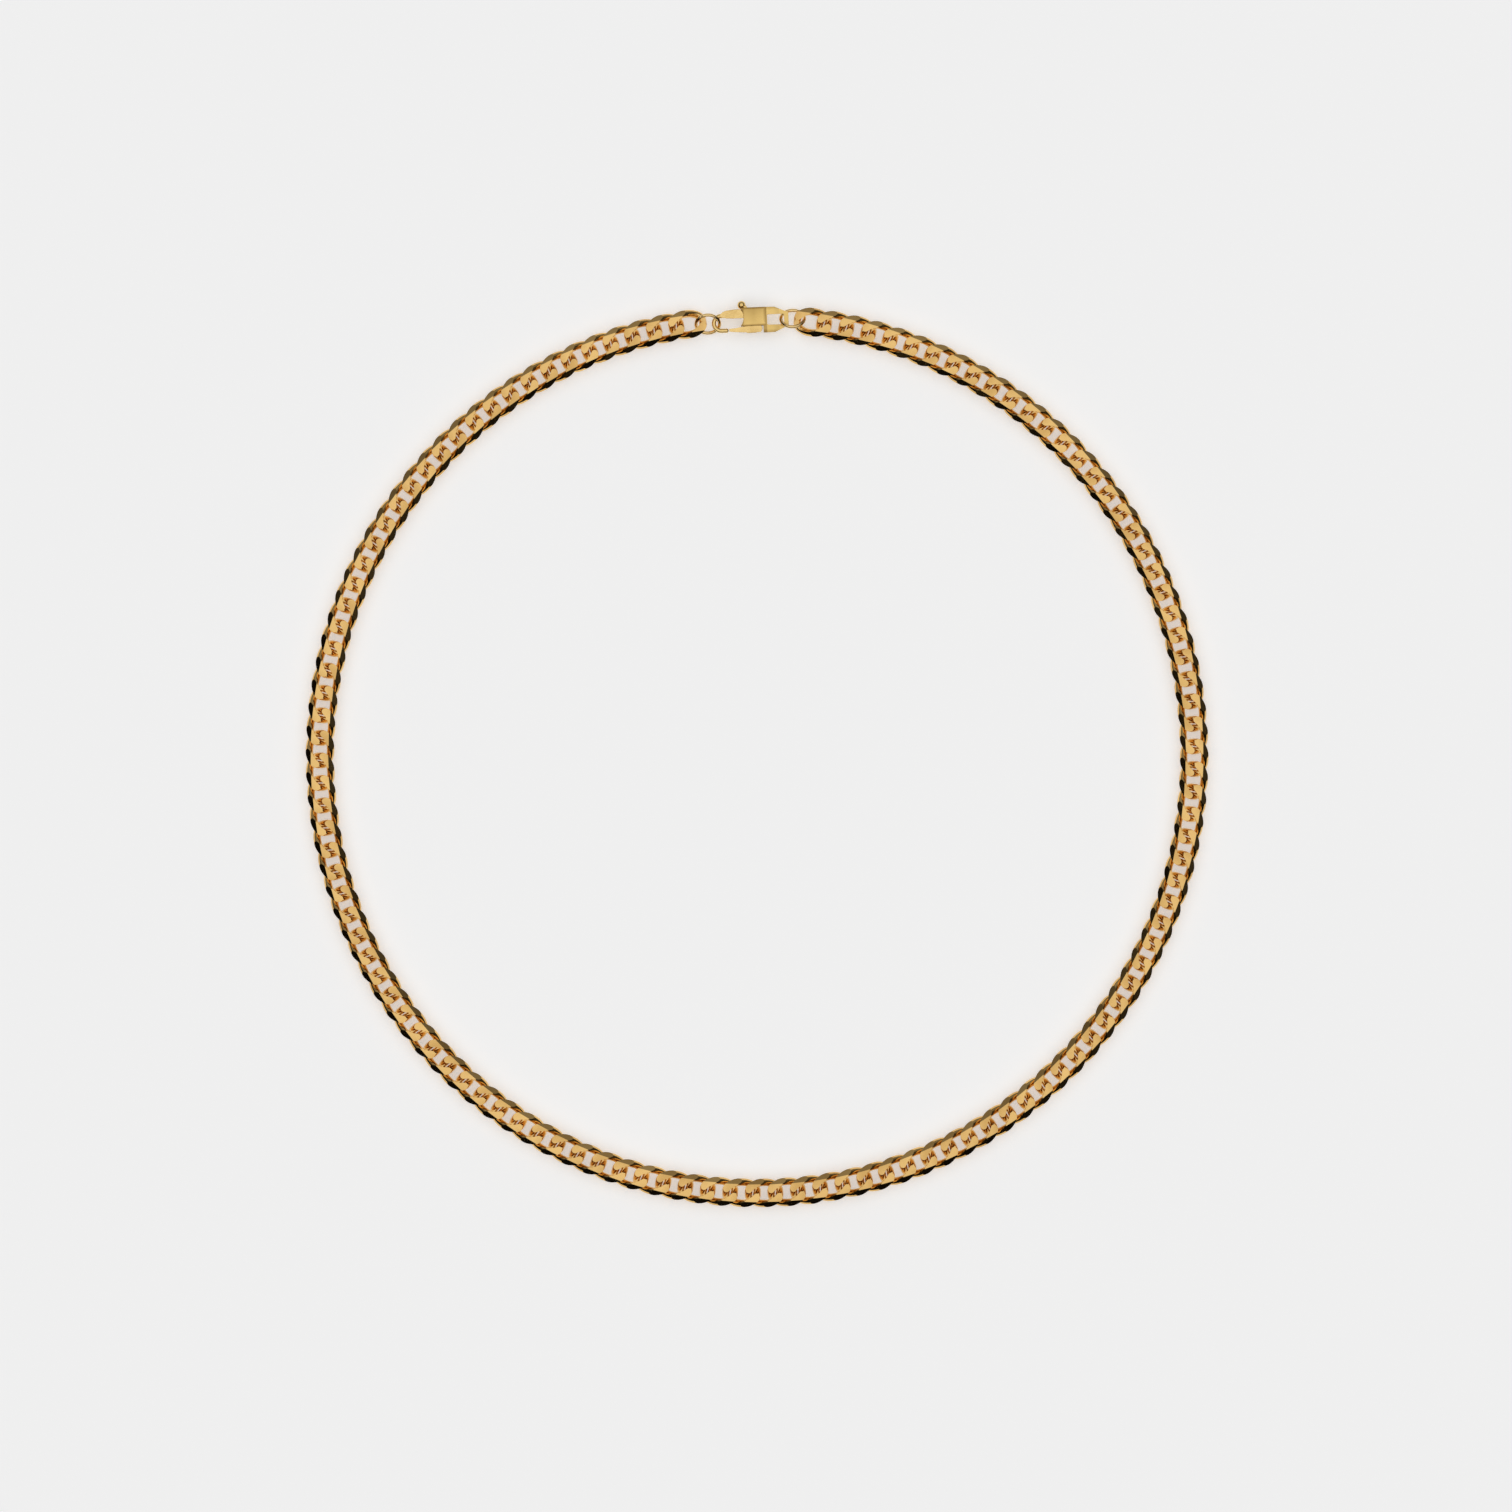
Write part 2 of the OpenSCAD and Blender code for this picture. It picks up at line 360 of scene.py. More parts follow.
class Bench:
    """Gathers the shapes of one piece, in millimetres, and turns them into an object."""

    def __init__(self) -> None:
        """Starts with nothing on the bench."""
        self.work = bmesh.new()
        self.tone = self.work.verts.layers.float.new("tone")

    def add(self, shape: bmesh.types.BMesh, tone: float = 0.5) -> None:
        """Puts a finished shape with the others.

        Args:
            shape: The shape, which is used up.
            tone: How far it has toned down, from 0 to 1.
        """
        bmesh.ops.recalc_face_normals(shape, faces=shape.faces[:])
        made = {v.index: self.work.verts.new(v.co) for v in self.numbered(shape)}
        for v in made.values():
            v[self.tone] = tone
        for face in shape.faces:
            self.work.faces.new([made[v.index] for v in face.verts])
        shape.free()

    @staticmethod
    def numbered(shape: bmesh.types.BMesh) -> list[bmesh.types.BMVert]:
        """The shape's points, with their numbers brought up to date."""
        shape.verts.index_update()
        return shape.verts[:]

    def skin(self, rings: np.ndarray, closed: bool, tone: float = 0.5) -> None:
        """Covers a row of rings of points and puts it with the others.

        Args:
            rings: Points as [ring, point, xyz].
            closed: Whether the last ring joins the first.
            tone: How far the metal has toned down.
        """
        self.add(ring_skin(rings, closed), tone)

    def tube(
        self,
        path: np.ndarray,
        radius: Union[float, np.ndarray],
        sides: int = 16,
        flatten: float = 1.0,
        closed: bool = False,
    ) -> None:
        """Runs a round or flattened bar along a path that lies flat.

        Args:
            path: Points of its middle line.
            radius: Half its thickness across the path, alone or for each point.
            sides: Sides of its section.
            flatten: Its height over its width.
            closed: Whether the path meets itself.
        """
        path = np.asarray(path, float)
        ahead, behind = np.roll(path, -1, 0), np.roll(path, 1, 0)
        if not closed:
            ahead[-1], behind[0] = path[-1], path[0]
        heading = ahead - behind
        heading /= np.linalg.norm(heading, axis=1)[:, None]
        up = np.array([0.0, 0.0, 1.0])
        side = np.cross(heading, up)
        side /= np.linalg.norm(side, axis=1)[:, None]
        turn = np.linspace(0, 2 * np.pi, sides, endpoint=False)
        reach = np.broadcast_to(np.asarray(radius, float), (len(path),))[:, None, None]
        across = np.cos(turn)[None, :, None] * side[:, None, :]
        rise = flatten * np.sin(turn)[None, :, None] * up[None, None, :]
        self.skin(path[:, None, :] + reach * (across + rise), closed)

    def plate(
        self,
        outline: Sequence[Point],
        low: Callable[[float, float], float],
        high: Callable[[float, float], float],
        edge: float,
        holes: Sequence[Sequence[Point]] = (),
        rows: Sequence[float] = (),
        columns: Sequence[float] = (),
        segments: int = 3,
    ) -> None:
        """Makes a plate from its outline, with rounded edges.

        Args:
            outline: Corners, seen from above.
            low: Height of the underside at a place.
            high: Height of the top at a place.
            edge: Width of the rounding along its edges, or 0 for none.
            holes: Outlines of holes through it.
            rows: Places along Y where the faces are cut, so that the heights can follow a curve.
            columns: The same along X.
            segments: Steps in the rounding.
        """
        shape = bmesh.new()
        edges = []
        for loop in (outline, *holes):
            corners = [shape.verts.new((x, y, 0.0)) for x, y in loop]
            edges += [shape.edges.new((a, b)) for a, b in zip(corners, corners[1:] + corners[:1])]
        bmesh.ops.triangle_fill(shape, use_beauty=True, use_dissolve=False, edges=edges)
        for axis, cuts in ((0, columns), (1, rows)):
            for cut in cuts:
                place, way = [0.0] * 3, [0.0] * 3
                place[axis], way[axis] = cut, 1.0
                whole = shape.verts[:] + shape.edges[:] + shape.faces[:]
                bmesh.ops.bisect_plane(shape, geom=whole, plane_co=place, plane_no=way, dist=1e-4)
        under = shape.verts[:]
        grown = bmesh.ops.extrude_face_region(shape, geom=shape.faces[:])["geom"]
        top = [g for g in grown if isinstance(g, bmesh.types.BMVert)]
        for v in top:
            v.co.z = high(v.co.x, v.co.y)
        for v in under:
            v.co.z = low(v.co.x, v.co.y)
        bmesh.ops.recalc_face_normals(shape, faces=shape.faces[:])
        if edge:
            fold = math.radians(35)
            rim = [e for e in shape.edges if e.is_manifold and e.calc_face_angle(0.0) > fold]
            bmesh.ops.bevel(
                shape,
                geom=rim,
                offset=edge,
                segments=segments,
                profile=0.55,
                affect="EDGES",
                clamp_overlap=True,
            )
        self.add(shape)

    def turned(self, profile: Sequence[Point], place: Sequence[float], sides: int = 32) -> None:
        """Turns a profile about an upright axis.

        Args:
            profile: Points as (radius, height), from the bottom to the top, both ends at radius 0.
            place: Where the axis stands.
            sides: Steps round the turn.
        """
        shape = bmesh.new()
        x, y, z = place
        ways = [(math.cos(t), math.sin(t)) for t in (2 * math.pi * k / sides for k in range(sides))]
        rings = []
        for radius, height in profile[1:-1]:
            points = [(x + radius * c, y + radius * s, z + height) for c, s in ways]
            rings.append([shape.verts.new(p) for p in points])
        foot = shape.verts.new((x, y, z + profile[0][1]))
        head = shape.verts.new((x, y, z + profile[-1][1]))
        for k in range(sides):
            n = (k + 1) % sides
            shape.faces.new((foot, rings[0][n], rings[0][k]))
            shape.faces.new((head, rings[-1][k], rings[-1][n]))
            for here, there in zip(rings, rings[1:]):
                shape.faces.new((here[k], here[n], there[n], there[k]))
        self.add(shape)

    def tint(self, tone_at: Callable[[float, float], float]) -> None:
        """Sets the tone place by place, which on the clasp paints shade.

        Args:
            tone_at: The tone from 0 to 1 at a place seen from above.
        """
        for v in self.work.verts:
            v[self.tone] = min(1.0, max(0.0, tone_at(v.co.x, v.co.y)))

    def mesh(self, name: str, finish: MetalFinish, sharp: float = 32.0) -> bpy.types.Mesh:
        """Turns the work into a dressed mesh in metres.

        Args:
            name: The mesh's name.
            finish: The metal's finish.
            sharp: Angle in degrees from which an edge stays sharp.

        Returns:
            The new mesh.
        """
        bmesh.ops.scale(self.work, vec=(MM, MM, MM), verts=self.work.verts[:])
        mesh = bpy.data.meshes.new(name)
        self.work.to_mesh(mesh)
        self.work.free()
        mesh.shade_smooth()
        mesh.set_sharp_from_angle(angle=math.radians(sharp))
        mesh.materials.append(finish.build())
        return mesh


def settle(name: str, mesh: bpy.types.Mesh, place: Matrix, seat: Seat) -> bpy.types.Object:
    """Makes an object of a mesh, puts it on its body and hides the imported nodes it stands for.

    Args:
        name: The piece's name.
        mesh: Its mesh.
        place: Where it stands.
        seat: Where it belongs.

    Returns:
        The new piece.
    """
    piece = bpy.data.objects.new(name, mesh)
    bpy.context.scene.collection.objects.link(piece)
    piece.matrix_world = place
    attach(piece, seat.body)
    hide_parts(*seat.nodes)
    log.info("%s rides on %s, %d points", name, seat.body, len(mesh.vertices))
    return piece


def arc(middle: Point, radius: float, start: float, end: float, steps: int) -> list[Point]:
    """Points along a circle.

    Args:
        middle: The circle's middle.
        radius: Its radius.
        start: Angle of the first point in degrees.
        end: Angle of the last point in degrees.
        steps: Number of steps.

    Returns:
        The points from the first to the last.
    """
    turns = [math.radians(start + (end - start) * k / steps) for k in range(steps + 1)]
    return [(middle[0] + radius * math.cos(t), middle[1] + radius * math.sin(t)) for t in turns]


# ---- Layout ----


class Layout:
    """Where the pieces stand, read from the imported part's hinges."""

    def __init__(self, joints: Sequence[Mapping[str, object]]) -> None:
        """Works out the ring and the clasp's place.

        Args:
            joints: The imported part's joints.
        """
        places = {j["name"]: Vector(j["pos_m"]) for j in joints}
        axes = {j["name"]: Vector(j["axis"]) for j in joints}
        runs = []
        for j in joints:
            if j["parent"].startswith("links_") and j["child"].startswith("links_"):
                low = min(int(j["parent"][-2:]), int(j["child"][-2:]))
                x, y, _ = j["pos_m"]
                runs.append((low, math.atan2(x, y) % (2 * math.pi)))
        slope, start = np.polyfit(*zip(*runs), 1)
        self.radius = math.hypot(*places["fold_01_right"][:2])
        self.height = places["fold_01_right"].z
        self.pitch_turn = slope / 3
        self.first_turn = start + self.pitch_turn / 2
        self.clasp = self.upright(places["clasp_roll"], axes["clasp_roll"])
        spins = {side: f"ring_{side}_spin" for side in ("right", "left")}
        along = axes["clasp_roll"]
        self.rings = {
            side: self.leaning(places[spin], axes[spin], along) for side, spin in spins.items()
        }
        self.pin = self.clasp.inverted() @ places["trigger_turn"] / MM

    def link(self, index: int) -> float:
        """The clockwise angle of a link round the ring, counted from the one after the clasp."""
        return self.first_turn + index * self.pitch_turn

    def on_ring(self, turn: float) -> Matrix:
        """The place on the ring at a clockwise angle, with X along the chain and Y outwards."""
        return Matrix.Rotation(-turn, 4, "Z") @ Matrix.Translation((0, self.radius, self.height))

    @staticmethod
    def upright(place: Vector, along: Vector) -> Matrix:
        """A place with X along a direction and Z up."""
        up = Vector((0, 0, 1))
        side = up.cross(along).normalized()
        return Matrix.Translation(place) @ Matrix((along, side, up)).transposed().to_4x4()

    @staticmethod
    def leaning(place: Vector, axis: Vector, along: Vector) -> Matrix:
        """A place with Z along an axis and X as near as it can be to a direction."""
        across = axis.cross(along).normalized()
        ahead = across.cross(axis).normalized()
        return Matrix.Translation(place) @ Matrix((ahead, across, axis)).transposed().to_4x4()


# ---- Chain ----


@dataclass
class CurbChain:
    """The curb chain: links of twisted wire, ground flat above and below and bevelled at both edges.

    Attributes:
        length: Length of a link.
        width: Width of a link.
        wire: Thickness of its wire, with its polished skin.
        gauge: Thickness of the drawn wire, which sets the middle line.
        twist: Slant of each end, in degrees.
        fullness: Fullness of its outline, where 2 is an ellipse.
        thick: Thickness over the ground faces.
        flat: Width of the flat face between the bevels.
        slope: Slope of the bevels, in degrees.
        stations: Sections along the wire.
        sides: Sides of each section.
        run: Links on one body.
        runs: Bodies along the chain.
        patterns: How many different runs of three links are made.
    """

    length: float = 7.0
    width: float = 5.27
    wire: float = 1.41
    gauge: float = 1.36
    twist: float = 50.0
    fullness: float = 3.8
    thick: float = 2.2
    flat: float = 3.2
    slope: float = 32.0
    stations: int = 80
    sides: int = 24
    run: int = 3
    runs: int = 39
    patterns: int = 6

    def middle_line(self, steps: int) -> tuple[np.ndarray, np.ndarray, np.ndarray]:
        """The wire's middle line, evenly spaced.

        Args:
            steps: Number of points.

        Returns:
            The points, the headings and the slants.
        """
        turn = np.linspace(0, 2 * np.pi, 2881)
        half_l, half_w = (self.length - self.gauge) / 2, (self.width - self.wire) / 2

        def eased(value: np.ndarray) -> np.ndarray:
            return np.sign(value) * np.abs(value) ** (2 / self.fullness)

        x, reach = half_l * eased(np.sin(turn)), half_w * eased(np.cos(turn))
        slant = np.radians(self.twist) * x / half_l
        line = np.stack([x, reach * np.cos(slant), -reach * np.sin(slant)], 1)
        gone = np.concatenate([[0], np.cumsum(np.linalg.norm(np.diff(line, axis=0), axis=1))])
        stops = np.linspace(0, gone[-1], steps, endpoint=False)
        even = np.stack([np.interp(stops, gone, line[:, k]) for k in range(3)], 1)
        heading = np.roll(even, -1, 0) - np.roll(even, 1, 0)
        heading /= np.linalg.norm(heading, axis=1)[:, None]
        return even, heading, np.interp(stops, gone, slant)

    def link(self) -> bmesh.types.BMesh:
        """One link: a sweep of round wire, cut flat above and below and bevelled at both edges."""
        line, heading, slant = self.middle_line(self.stations)
        tilt = np.stack([np.zeros_like(slant), np.sin(slant), np.cos(slant)], 1)
        side = np.cross(heading, tilt)
        side /= np.linalg.norm(side, axis=1)[:, None]
        rise = np.cross(side, heading)
        turn = np.linspace(0, 2 * np.pi, self.sides, endpoint=False)
        ways = np.cos(turn)[None, :, None] * side[:, None]
        ways = ways + np.sin(turn)[None, :, None] * rise[:, None]
        shape = ring_skin(line[:, None] + self.wire / 2 * ways, closed=True)
        slope = math.radians(self.slope)
        # Distance of a bevel that starts where the flat face ends.
        bevel = self.flat / 2 * math.sin(slope) + self.thick / 2 * math.cos(slope)
        for up in (1, -1):
            grind(shape, Vector((0, 0, up)), self.thick / 2)
            for out in (1, -1):
                grind(shape, Vector((0, out * math.sin(slope), up * math.cos(slope))), bevel)
        return shape

    def pattern(self, index: int, pitch_turn: float, radius: float) -> bpy.types.Mesh:
        """A run of links, each sitting a little differently in the next.

        Args:
            index: Number of the pattern, which fixes how its links sit.
            pitch_turn: Angle between links round the ring.
            radius: Radius of the ring in millimetres.

        Returns:
            The run's mesh, about its own middle link.
        """
        chance = np.random.default_rng(40 + index)
        bench = Bench()
        for k in range(self.run):
            turn = (k - (self.run - 1) / 2) * pitch_turn
            roll, nod = np.radians(chance.normal(0, (0.9, 0.4)))
            sit = Matrix.Rotation(-turn, 4, "Z") @ Matrix.Translation((0, radius, 0))
            sit = Matrix.Translation((0, -radius, 0)) @ sit
            sit = sit @ Matrix.Rotation(roll, 4, "X") @ Matrix.Rotation(nod, 4, "Y")
            shape = self.link()
            shape.transform(sit)
            bench.add(shape, float(chance.uniform(0.2, 0.9)))
        return bench.mesh(f"curb_run_{index}", POLISHED, sharp=20.0)

    def build(self, layout: Layout) -> None:
        """Makes every run of links and puts it on its body.

        Args:
            layout: Where the runs stand.
        """
        radius = layout.radius / MM
        meshes = [self.pattern(k, layout.pitch_turn, radius) for k in range(self.patterns)]
        order = np.random.default_rng(7).integers(0, self.patterns, self.runs)
        for number, choice in enumerate(order, start=1):
            middle = layout.link((number - 1) * self.run + 1)
            node = f"links_{number:02d}"
            seat = Seat(node, Slot.LINKS, (node,))
            settle(f"curb_{node}", meshes[choice], layout.on_ring(middle), seat)


# ---- Jump rings ----


@dataclass
class JumpRings:
    """The two rings of round wire that join the clasp to the chain, each with its saw cut.

    Attributes:
        outside: Outside diameter.
        wire: Thickness of the wire.
        seam: Width of the closed saw cut.
        seam_turns: Where each ring's cut is, in degrees.
        offset: How far the two ends stand out of line.
        burr: How far the wire is rounded off at its ends.
        stations: Sections along the wire.
    """

    outside: float = 4.9
    wire: float = 0.62
    seam: float = 0.05
    seam_turns: dict[str, float] = field(default_factory=lambda: {"right": 62.0, "left": 118.0})
    offset: float = 0.035
    burr: float = 0.05
    stations: int = 97

    def build(self, layout: Layout) -> None:
        """Makes both rings.

        Args:
            layout: Where they stand.
        """
        middle = (self.outside - self.wire) / 2
        for side, start in self.seam_turns.items():
            gap = math.degrees(self.seam / middle)
            turn = np.radians(np.linspace(start + gap / 2, start + 360 - gap / 2, self.stations))
            drift = self.offset * np.linspace(-0.5, 0.5, self.stations) ** 3 * 4
            path = np.stack([middle * np.cos(turn), middle * np.sin(turn), drift], 1)
            radius = np.full(self.stations, self.wire / 2)
            radius[[0, -1]] -= self.burr
            path[0] += (path[0] - path[1]) * 0.02
            bench = Bench()
            bench.tube(path, radius, sides=20)
            node = f"jump_ring_{side}"
            mesh = bench.mesh(f"wire_ring_{side}", ROUND_WIRE, sharp=50.0)
            settle(f"wire_ring_{side}", mesh, layout.rings[side], Seat(node, Slot.RINGS, (node,)))


# ---- Clasp ----


@dataclass
class LobsterClasp:
    """The lobster clasp: satin cheeks and tail, a hook on a broad arm, and a trigger on its pin.

    Attributes:
        length: Length from the hook's end to the tail's end.
        thick: Thickness over the cheeks.
        cheek: Thickness of a cheek.
        cheek_l: Length of the cheeks.
        hook_d: Thickness of the hook's bar.
        hook_gap: Height of the opening inside the hook.
        arm_t: Thickness of the arm.
        tail_h: Height of the tail at its root.
        slot_l: Length of the tail's slot.
        slot_h: Height of the slot.
        bar: Width of the bar that closes the tail.
        bar_t: Thickness of that bar.
        ball: Diameter of the thumb ball.
        pin_d: Diameter of the pin.
        hook_y: Height of the hook's middle above the clasp's.
    """

    length: float = 14.0
    thick: float = 2.4
    cheek: float = 0.45
    cheek_l: float = 4.2
    hook_d: float = 0.8
    hook_gap: float = 1.9
    arm_t: float = 1.1
    tail_h: float = 4.6
    slot_l: float = 3.1
    slot_h: float = 1.9
    bar: float = 0.8
    bar_t: float = 0.5
    ball: float = 1.5
    pin_d: float = 0.8
    hook_y: float = -0.35

    def __post_init__(self) -> None:
        """Works out the places along the clasp."""
        self.tail_x = self.length / 2
        self.slot_x1 = self.tail_x - self.bar
        self.slot_x0 = self.slot_x1 - self.slot_l
        self.cheek_x1 = self.slot_x0 - 0.2
        self.cheek_x0 = self.cheek_x1 - self.cheek_l
        self.top = self.tail_h / 2
        self.foot = -0.22 * self.tail_h
        self.hook_r = (self.hook_gap + self.hook_d) / 2
        self.hook_x = -self.length / 2 + self.hook_r + self.hook_d / 2
        self.roof = self.hook_y + self.hook_gap / 2
        self.nose_x = self.hook_x + 1.25
        self.foot_y = self.hook_y - self.hook_r
        self.trigger_t = self.thick - 2 * self.cheek - 0.12

    def cheeks(self, bench: Bench) -> None:
        """The two cheeks, slightly domed, with a hollow end towards the hook and painted shade over
        them.

        Args:
            bench: Where they are made.
        """
        hollow = (self.cheek_x0 - 2.6, 0.7)
        reach = 2.75
        low = math.degrees(math.asin((self.foot - hollow[1]) / reach))
        high = math.degrees(math.asin((self.top - hollow[1]) / reach))
        outline = arc(hollow, reach, high, low, 14)
        corner, corner_x = 0.3, self.cheek_x1 - 0.3
        outline += [(corner_x, self.foot), *arc((corner_x, self.foot + corner), corner, -80, 0, 4)]
        outline += [(self.cheek_x1, self.top)]
        middle_x, middle_y = (self.cheek_x0 + self.cheek_x1) / 2, (self.top + self.foot) / 2
        inner, outer = self.thick / 2 - self.cheek, self.thick / 2

        def dome(x: float, y: float) -> float:
            across = ((x - middle_x) / (self.cheek_l / 2)) ** 2
            up = ((y - middle_y) / (self.top - middle_y)) ** 2
            return outer + 0.07 * (1 - 0.45 * across - 0.75 * up)

        rows = np.linspace(self.foot, self.top, 9)[1:-1]
        columns = np.linspace(self.cheek_x0 + 0.3, self.cheek_x1, 8)[:-1]
        for side in (1, -1):
            faces = (lambda x, y: side * inner, lambda x, y: side * dome(x, y))
            bench.plate(outline, *faces, edge=0.09, rows=rows, columns=columns)

        # Painted shade: the cheeks darken towards the top and in a narrow band along their rims, and
        # lighten towards their ends.
        def tone_and_painted_shade(x: float, y: float) -> float:
            along = (x - self.cheek_x0) / self.cheek_l
            up = (y - self.foot) / (self.top - self.foot)
            rim = max(0.0, abs(2 * up - 1) - 0.8, abs(2 * along - 1) - 0.84) * 4
            return 0.24 + 0.42 * up - 0.34 * abs(along - 0.45) + rim

        bench.tint(tone_and_painted_shade)

    def tail(self, bench: Bench) -> None:
        """The six-sided tail with its slot, thinned towards its end bar.

        Args:
            bench: Where it is made.
        """
        start, knee = self.cheek_x1 - 0.5, self.slot_x0 + 0.45 * self.slot_l
        tip = 0.62 * self.slot_h
        outline = [
            (start, -self.top), (knee, -self.top), (self.tail_x, -tip),
            (self.tail_x, tip), (knee, self.top), (start, self.top),
        ]
        half_h, corner = self.slot_h / 2, 0.22
        hole = []
        for x, y, turn in (
            (self.slot_x0 + corner, -half_h + corner, 180),
            (self.slot_x1 - corner, -half_h + corner, 270),
            (self.slot_x1 - corner, half_h - corner, 0),
            (self.slot_x0 + corner, half_h - corner, 90),
        ):
            hole += arc((x, y), corner, turn, turn + 90, 4)
        stops = [start, self.cheek_x1 + 0.1, self.slot_x0 + 1.2, self.slot_x1 - 0.9, self.tail_x]
        halves = [0.86, 0.84, 0.60, self.bar_t / 2 + 0.02, self.bar_t / 2 - 0.05]

        def half(x: float, y: float) -> float:
            return float(np.interp(x, stops, halves)) - 0.05 * (abs(y) / self.top) ** 3

        columns = [self.slot_x0, *np.linspace(start, self.tail_x, 9)[1:-1], self.slot_x1 - 0.9]
        rows = (-1.7, -1.2, 1.2, 1.7)
        bench.plate(outline, lambda x, y: -half(x, y), half, 0.11, [hole], rows, sorted(columns))

        # Painted shade: darker along the top and bottom edges and where the tail runs in beside the
        # cheeks.
        def tone_and_painted_shade(x: float, y: float) -> float:
            shade_beside_cheek = 0.5 * (x < self.cheek_x1 + 0.12)
            return 0.12 + 3.0 * max(0.0, abs(y) / self.top - 0.86) + shade_beside_cheek

        bench.tint(tone_and_painted_shade)

    def block(self, bench: Bench) -> None:
        """The two blocks between the cheeks: the arm's root and the tail's root.

        Args:
            bench: Where they are made.
        """
        half = self.thick / 2 - self.cheek / 2
        foot = self.roof - 0.15
        x0, x1 = self.cheek_x0 + 0.1, self.cheek_x0 + 0.95
        outlines = (
            [(x0, foot), (x1, foot), (x1, foot + 0.35), (x0, foot + 1.3)],
            [
                (self.cheek_x1 - 0.55, self.foot + 0.35), (self.cheek_x1, self.foot + 0.35),
                (self.cheek_x1, self.top - 0.05), (self.cheek_x1 - 0.55, self.top - 0.05),
            ],
        )
        for outline in outlines:
            bench.plate(outline, lambda x, y: -half, lambda x, y: half, 0.05)

    def hook(self, bench: Bench) -> None:
        """The round bar of the hook, from inside the arm to its nose.

        Args:
            bench: Where it is made.
        """
        bar = self.hook_d / 2
        over = [(self.hook_x + d, self.hook_y + self.hook_r) for d in (0.9, 0.45)]
        round_end = arc((self.hook_x, self.hook_y), self.hook_r, 90, 270, 30)
        under = [(self.hook_x + d, self.foot_y) for d in np.linspace(0.25, 1.25, 7)]
        flat = over + round_end + under
        path = np.array([(x, y, 0.0) for x, y in flat])
        radius = np.full(len(path), bar)
        radius[-3:] = (bar * 1.06, bar * 0.96, bar * 0.62)
        radius[:2] = (bar * 0.9, bar)
        bench.tube(path, radius, sides=20)

    def arm(self, bench: Bench) -> None:
        """The broad arm that carries the hook, crowned above and below.

        Args:
            bench: Where it is made.
        """
        start, end = self.hook_x - 0.15, self.cheek_x0 + 0.3
        lower = [
            (start, self.roof + 0.16),
            (self.hook_x + 0.5, self.roof + 0.02),
            (self.hook_x + 1.0, self.roof - 0.1),
            (self.hook_x + 2.0, self.roof - 0.15),
            (end, self.roof - 0.15),
        ]
        upper = [
            (end, self.top - 0.35),
            (self.cheek_x0 - 0.9, self.top - 0.2),
            (self.cheek_x0 - 1.8, self.top - 0.24),
            (self.hook_x + 0.8, self.top - 0.4),
            (self.hook_x + 0.3, self.top - 0.62),
            (start, self.roof + self.hook_d - 0.12),
        ]
        middle = (self.roof + self.top) / 2 - 0.2

        def crown(x: float, y: float) -> float:
            lift = (x - start) / (end - start)
            return self.arm_t / 2 * (0.86 + 0.14 * lift) - 0.14 * ((y - middle) / 0.8) ** 2

        rows = np.linspace(self.roof, self.top - 0.35, 6)
        columns = np.linspace(start, end, 9)[1:-1]
        bench.plate(lower + upper, lambda x, y: -crown(x, y), crown, 0.12, (), rows, columns)

        def tone_and_painted_shade(x: float, y: float) -> float:
            return 0.30 + 0.35 * math.sin(7.0 * x + 4.0 * y) * math.sin(9.0 * y - 2.0 * x)

        bench.tint(tone_and_painted_shade)

    def trigger(self, bench: Bench, pin: Vector) -> None:
        """The trigger: its gate with a stepped thumb rail, its hub, its stem and the thumb ball.

        Args:
            bench: Where it is made.
            pin: The pin's place.
        """
        half, hub = self.trigger_t / 2, self.pin_d / 2 + 0.4
        gate_x, gate_top = self.nose_x + 0.11, self.hook_y - self.hook_gap / 2 - 0.1
        gate_foot = self.foot_y - self.hook_d / 2
        end = self.cheek_x1
        gate = [
            (gate_x, gate_foot + 0.2),
            (gate_x + 0.7, gate_foot + 0.1),
            (gate_x + 2.0, gate_foot - 0.02),
            (end - 2.6, gate_foot - 0.1),
            (end - 1.0, gate_foot - 0.1),
            (end - 0.7, gate_foot + 0.5),
            (pin.x + hub, pin.y),
            (pin.x - hub, pin.y - 0.35),
            (gate_x + 1.2, gate_top + 0.06),
            (gate_x, gate_top),
        ]
        ball = (self.cheek_x0 - 0.15, self.top + 0.55)
        stem = [
            (pin.x - 0.35, pin.y + 0.3), (pin.x + 0.55, pin.y + 0.4),
            (ball[0] + 0.75, ball[1] - 0.1), (ball[0] + 0.2, ball[1] - 0.25),
        ]

        def swell(x: float, y: float) -> float:
            return half * (0.72 + 0.28 * min(1.0, max(0.0, (x - gate_x) / 2.4)))

        columns = np.linspace(gate_x, end - 1, 9)[1:-1]
        bench.plate(gate, lambda x, y: -swell(x, y), swell, 0.13, (), (), columns)
        bench.plate(stem, lambda x, y: -half * 0.8, lambda x, y: half * 0.8, 0.1)
        steps = ((4.3, 0.2), (3.4, -0.22), (1.9, -0.2), (1.2, 0.1), (1.4, 0.4), (4.0, 0.42))
        rail = [(end - back, gate_foot + up) for back, up in steps]
        bench.plate(rail, lambda x, y: -half * 0.55, lambda x, y: half * 0.55, 0.1)
        for k in range(4):
            ridge = arc((end - 3.3 + 0.55 * k, gate_foot + 0.42), 0.16, 0, 330, 11)
            bench.plate(ridge, lambda x, y: half - 0.05, lambda x, y: half + 0.04, 0.03)

        # Dark bands across the lower gate, between the thumb rail's steps, are painted shade; the
        # thumb ball is also made darker.
        def tone_and_painted_shade(x: float, y: float) -> float:
            on_ball = 0.5 * (y > self.top - 0.2)
            shade_between_steps = 0.55 * max(0.0, math.sin(5.7 * x)) * (y < gate_top - 0.3)
            return 0.15 + on_ball + shade_between_steps

